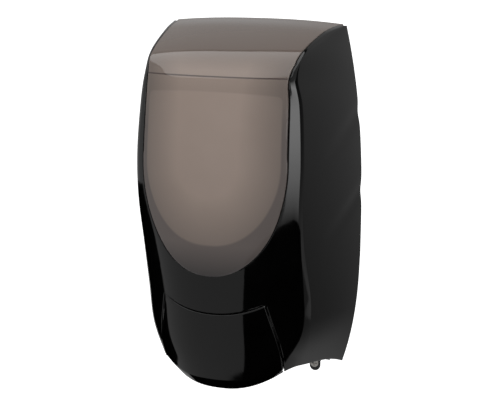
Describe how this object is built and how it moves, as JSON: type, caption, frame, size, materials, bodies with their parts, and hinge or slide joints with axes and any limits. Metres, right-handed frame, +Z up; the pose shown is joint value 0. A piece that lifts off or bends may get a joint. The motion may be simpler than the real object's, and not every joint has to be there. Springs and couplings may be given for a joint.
{
  "type": "soap dispenser",
  "caption": "Wall mounted push soap dispenser: hinged gloss cover with smoked window and sprung push lever over a refill bottle and pump.",
  "frame": {"origin": "centre of the four wall screw holes, on the wall face of the back plate", "axes": "+Z up, +Y into the wall, -Y out of the front of the dispenser, X along the wall"},
  "size_m": [0.163, 0.1121, 0.2614],
  "materials": {
    "gloss_black": "piano black moulding",
    "black_plastic": "fine moulded grain",
    "smoked_plastic": "smoked translucent moulding, glossy",
    "milky_plastic": "natural polyethylene, milky",
    "grey_plastic": "satin",
    "steel": "bright drawn",
    "rubber": "matt",
    "silicone": "translucent, matt"
  },
  "bodies": {
    "chassis": {"back_plate": "black_plastic", "refill_shelf": "black_plastic", "shelf_screws": "steel", "hinge_brackets": "black_plastic", "hinge_clips": "black_plastic", "hinge_screws": "steel", "hinge_pins": "steel", "latch_guides": "black_plastic", "latch_spring": "steel", "refill_bottle": "milky_plastic", "refill_cap": "grey_plastic", "pump_barrel": "milky_plastic", "inlet_valve": "silicone", "pump_spring": "steel"},
    "cover": {"cover_shell": "gloss_black", "cover_window": "smoked_plastic", "window_frame": "black_plastic", "window_screws": "steel", "latch_pegs": "steel", "lever_rod": "steel", "lever_spring": "steel", "lever_stops": "rubber"},
    "lever": {"push_lever": "gloss_black", "lever_yoke": "black_plastic", "yoke_screws": "steel"},
    "latch": {"latch_bar": "grey_plastic", "latch_button": "rubber"},
    "pump": {"pump_wings": "grey_plastic", "pump_stem": "milky_plastic", "piston_seal": "silicone", "pump_nozzle": "milky_plastic", "outlet_valve": "silicone"}
  },
  "joints": [
    {"name": "cover_open", "type": "hinge", "parent": "chassis", "child": "cover", "pos_m": [0, -0.022, -0.1215], "axis": [1, 0, 0], "range_deg": [0, 90]},
    {"name": "lever_press", "type": "hinge", "parent": "cover", "child": "lever", "pos_m": [0, -0.082, -0.07], "axis": [1, 0, 0], "range_deg": [0, 15], "stiffness_Nm_per_rad": 1.2, "springref_deg": -11.46, "deforming": ["lever_spring"]},
    {"name": "pump_stroke", "type": "slide", "parent": "chassis", "child": "pump", "axis": [0, 0, 1], "range_m": [0, 0.0106], "stiffness_N_per_m": 15, "springref_m": -0.004, "deforming": ["pump_spring"]},
    {"name": "latch_release", "type": "slide", "parent": "chassis", "child": "latch", "axis": [0, 0, 1], "range_m": [0, 0.004], "stiffness_N_per_m": 400, "springref_m": -0.003, "deforming": ["latch_spring"]}
  ],
  "couplings": [
    {"joint": "pump_stroke", "follows": "lever_press", "m_per_rad": 0.04}
  ]
}
